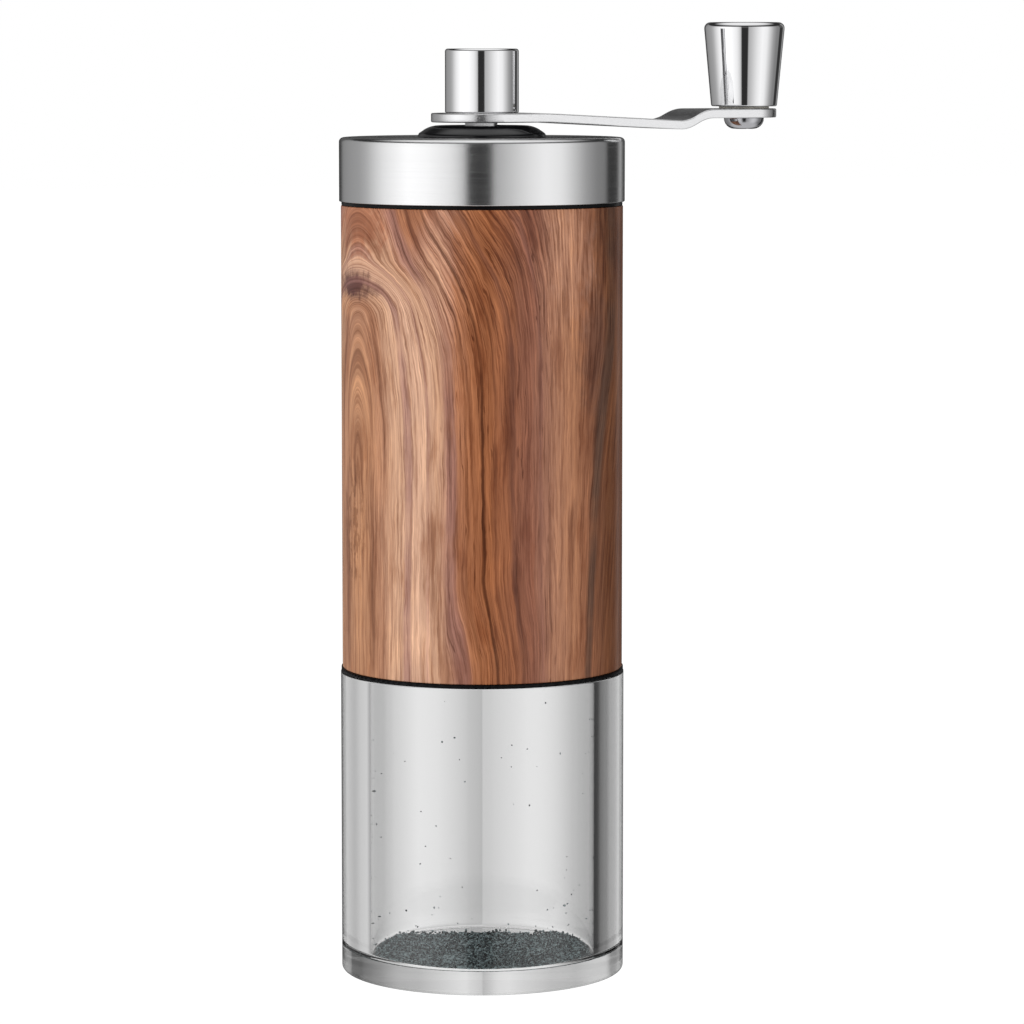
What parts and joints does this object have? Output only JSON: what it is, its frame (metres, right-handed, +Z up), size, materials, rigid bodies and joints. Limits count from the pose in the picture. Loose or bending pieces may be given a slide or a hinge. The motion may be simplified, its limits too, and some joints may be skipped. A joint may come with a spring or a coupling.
{
  "type": "burr coffee grinder",
  "caption": "Slim hand coffee grinder: clear powder cup, wood-clad barrel with an adjustable ceramic burr set, push-in steel lid and a lift-off crank with a turning knob.",
  "frame": {"origin": "centre of the powder cup's underside, on the grinder's own axis", "axes": "+Z up along the shaft, +X along the crank arm towards the knob at rest, +Y the remaining right-hand axis"},
  "size_m": [0.0843, 0.05, 0.1674],
  "materials": {
    "clear_acrylic": "clear, polished",
    "silicone": "soft satin",
    "wood_grain": "semi-gloss veneer with vertical grain, a knot and darker streaks",
    "brushed_steel": "brushed, running round the lid",
    "tube_steel": "plain drawn tube",
    "satin_steel": "satin strip",
    "chrome": "polished",
    "black_seam": "satin black",
    "black_moulding": "fine moulded texture",
    "gloss_black": "polished moulding",
    "ceramic": "unglazed, fine grained",
    "nylon": "natural moulded nylon",
    "brass": "turned",
    "spring_steel": "drawn wire",
    "screw_steel": "plain screw steel"
  },
  "bodies": {
    "body": {"wood_sleeve": "wood_grain", "body_tube": "tube_steel", "top_trim_ring": "black_seam", "burr_carrier": "black_seam", "hopper_liner": "black_moulding", "lower_bridge": "black_moulding", "upper_bridge": "black_moulding", "lower_bush": "brass", "upper_bush": "brass", "lower_bridge_screws": "screw_steel", "upper_bridge_screws": "screw_steel", "outer_burr": "ceramic", "burr_retainer": "black_moulding", "retainer_screws": "screw_steel"},
    "cup": {"powder_cup": "clear_acrylic", "cup_oring": "silicone"},
    "drive": {"drive_shaft": "satin_steel", "shaft_clip": "spring_steel", "thrust_washer": "satin_steel", "spring_washer": "satin_steel", "burr_spring": "spring_steel"},
    "burr": {"inner_burr": "ceramic", "burr_key": "nylon", "spring_seat": "satin_steel"},
    "adjuster": {"adjuster_nut": "black_moulding", "nut_insert": "brass"},
    "lid": {"lid_shell": "brushed_steel", "lid_liner": "black_moulding", "lid_seal": "silicone", "lid_collar": "gloss_black", "collar_clip": "spring_steel"},
    "crank": {"crank_socket": "chrome", "crank_arm": "satin_steel"},
    "knob": {"knob_shell": "chrome", "knob_core": "nylon", "knob_screw": "screw_steel", "knob_washer": "nylon"}
  },
  "joints": [
    {"name": "drive_spin", "type": "hinge", "parent": "body", "child": "drive", "pos_m": [0, 0, 0.0871], "axis": [0, 0, 1], "continuous": true},
    {"name": "cup_pull", "type": "slide", "parent": "body", "child": "cup", "axis": [0, 0, -1], "range_m": [0, 0.06]},
    {"name": "crank_lift", "type": "slide", "parent": "drive", "child": "crank", "axis": [0, 0, 1], "range_m": [0, 0.05]},
    {"name": "lid_lift", "type": "slide", "parent": "body", "child": "lid", "axis": [0, 0, 1], "range_m": [0, 0.034]},
    {"name": "knob_spin", "type": "hinge", "parent": "crank", "child": "knob", "pos_m": [0.052, 0, 0.152], "axis": [0, 0, 1], "continuous": true},
    {"name": "burr_set", "type": "slide", "parent": "drive", "child": "burr", "axis": [0, 0, -1], "range_m": [0, 0.0015], "deforming": ["burr_spring"]},
    {"name": "adjuster_turn", "type": "hinge", "parent": "burr", "child": "adjuster", "pos_m": [0, 0, 0.0567], "axis": [0, 0, -1], "range_deg": [0, 540]}
  ],
  "couplings": [
    {"joint": "lid_lift", "follows": "crank_lift", "ratio": 0.68},
    {"joint": "adjuster_turn", "follows": "burr_set", "rad_per_m": 6283.2}
  ]
}
